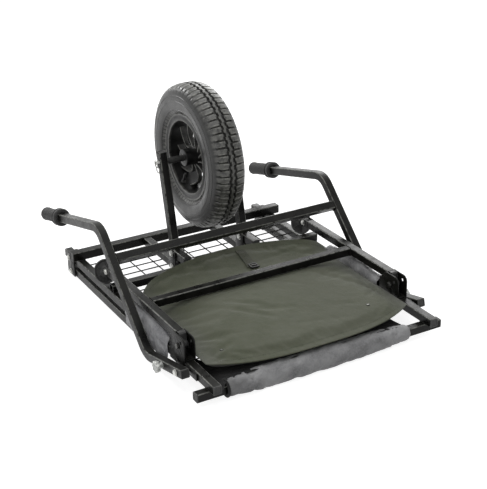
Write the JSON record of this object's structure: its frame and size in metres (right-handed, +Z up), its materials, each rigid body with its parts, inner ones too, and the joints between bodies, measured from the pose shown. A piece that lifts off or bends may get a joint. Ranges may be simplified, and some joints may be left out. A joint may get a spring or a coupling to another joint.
{
  "type": "folding fishing barrow",
  "caption": "Folding fishing barrow lying on its deck: box-section frame, wire deck, forked wheel, folded handles and legs, fabric bag.",
  "frame": {"origin": "on the floor under the middle of the folded barrow", "axes": "+X across the barrow, +Y from the handle-pivot end to the wheel end, +Z up from the floor, with the deck face down"},
  "size_m": [0.728, 0.9352, 0.538],
  "materials": {
    "black_paint": "satin black powder coat",
    "zinc_steel": "bright zinc plate",
    "black_plastic": "moulded, slightly matt",
    "grip_rubber": "ribbed soft rubber",
    "tyre_rubber": "block tread, smooth sidewall",
    "olive_fabric": "coated olive polyester",
    "grey_fabric": "silvery grey coated lining",
    "pale_knob": "pale moulded star knob"
  },
  "bodies": {
    "frame": {"rail_left": "black_paint", "rail_right": "black_paint", "near_crossbar": "black_paint", "far_crossbar": "black_paint", "mid_crossbar": "black_paint", "deck_mesh": "black_paint", "fork_rail_left": "black_paint", "fork_rail_right": "black_paint", "leg_bracket_left": "black_paint", "leg_bracket_right": "black_paint", "leg_pivot_bolt_left": "zinc_steel", "leg_pivot_bolt_right": "zinc_steel", "handle_pivot_bolt_left": "zinc_steel", "handle_pivot_bolt_right": "zinc_steel", "handle_spacer_left": "black_plastic", "handle_spacer_right": "black_plastic", "guard_bracket_left": "black_paint", "guard_bracket_right": "black_paint", "guard_pivot_bolt_left": "zinc_steel", "guard_pivot_bolt_right": "zinc_steel", "near_crossbar_cap_left": "black_plastic", "near_crossbar_cap_right": "black_plastic", "fork_left": "black_paint", "fork_right": "black_paint", "fork_bracket_left": "black_paint", "fork_bracket_right": "black_paint", "axle_spacer_left": "black_plastic", "axle_spacer_right": "black_plastic", "axle": "zinc_steel", "axle_clip": "zinc_steel", "bag_body": "olive_fabric", "bag_side_left": "grey_fabric", "bag_side_right": "grey_fabric", "bag_roll": "grey_fabric", "bag_strap": "olive_fabric", "bag_buckle": "black_plastic"},
    "wheel": {"tyre": "tyre_rubber", "rim": "black_plastic", "valve_stem": "grip_rubber", "hub_bearing_left": "zinc_steel", "hub_bearing_right": "zinc_steel"},
    "legs": {"leg_tube_left": "black_paint", "leg_tube_right": "black_paint", "leg_knuckle_left": "black_plastic", "leg_knuckle_right": "black_plastic", "leg_crossbar": "black_paint", "foot_bolt_left": "zinc_steel", "foot_bolt_right": "zinc_steel"},
    "foot_left": {"foot_left": "black_plastic"},
    "foot_right": {"foot_right": "black_plastic"},
    "handles": {"handle_tube_left": "black_paint", "handle_tube_right": "black_paint", "grip_left": "grip_rubber", "grip_right": "grip_rubber", "handle_crossbar": "black_paint"},
    "knob_left": {"lock_knob_left": "pale_knob"},
    "knob_right": {"lock_knob_right": "pale_knob"},
    "guard": {"guard_arm_left": "black_paint", "guard_arm_right": "black_paint", "guard_crossbar": "black_paint"}
  },
  "joints": [
    {"name": "wheel_spin", "type": "hinge", "parent": "frame", "child": "wheel", "pos_m": [0, 0.17421, 0.344], "axis": [1, 0, 0], "continuous": true},
    {"name": "handles_fold", "type": "hinge", "parent": "frame", "child": "handles", "pos_m": [0, -0.34898, 0.0463], "axis": [1, 0, 0], "range_deg": [0, 190]},
    {"name": "legs_fold", "type": "hinge", "parent": "frame", "child": "legs", "pos_m": [0, -0.30658, 0.087], "axis": [1, 0, 0], "range_deg": [0, 100]},
    {"name": "foot_left_tilt", "type": "hinge", "parent": "legs", "child": "foot_left", "pos_m": [-0.3, 0.10842, 0.106], "axis": [1, 0, 0], "range_deg": [0, 50]},
    {"name": "foot_right_tilt", "type": "hinge", "parent": "legs", "child": "foot_right", "pos_m": [0.3, 0.10842, 0.106], "axis": [1, 0, 0], "range_deg": [0, 50]},
    {"name": "guard_fold", "type": "hinge", "parent": "frame", "child": "guard", "pos_m": [0, 0.35042, 0.011], "axis": [1, 0, 0], "range_deg": [0, 90]},
    {"name": "knob_left_turn", "type": "hinge", "parent": "handles", "child": "knob_left", "pos_m": [-0.355, -0.27785, 0.02988], "axis": [1, 0, 0], "continuous": true},
    {"name": "knob_right_turn", "type": "hinge", "parent": "handles", "child": "knob_right", "pos_m": [0.355, -0.27785, 0.02988], "axis": [1, 0, 0], "continuous": true}
  ],
  "couplings": [
    {"joint": "legs_fold", "follows": "handles_fold", "ratio": 0.526}
  ]
}
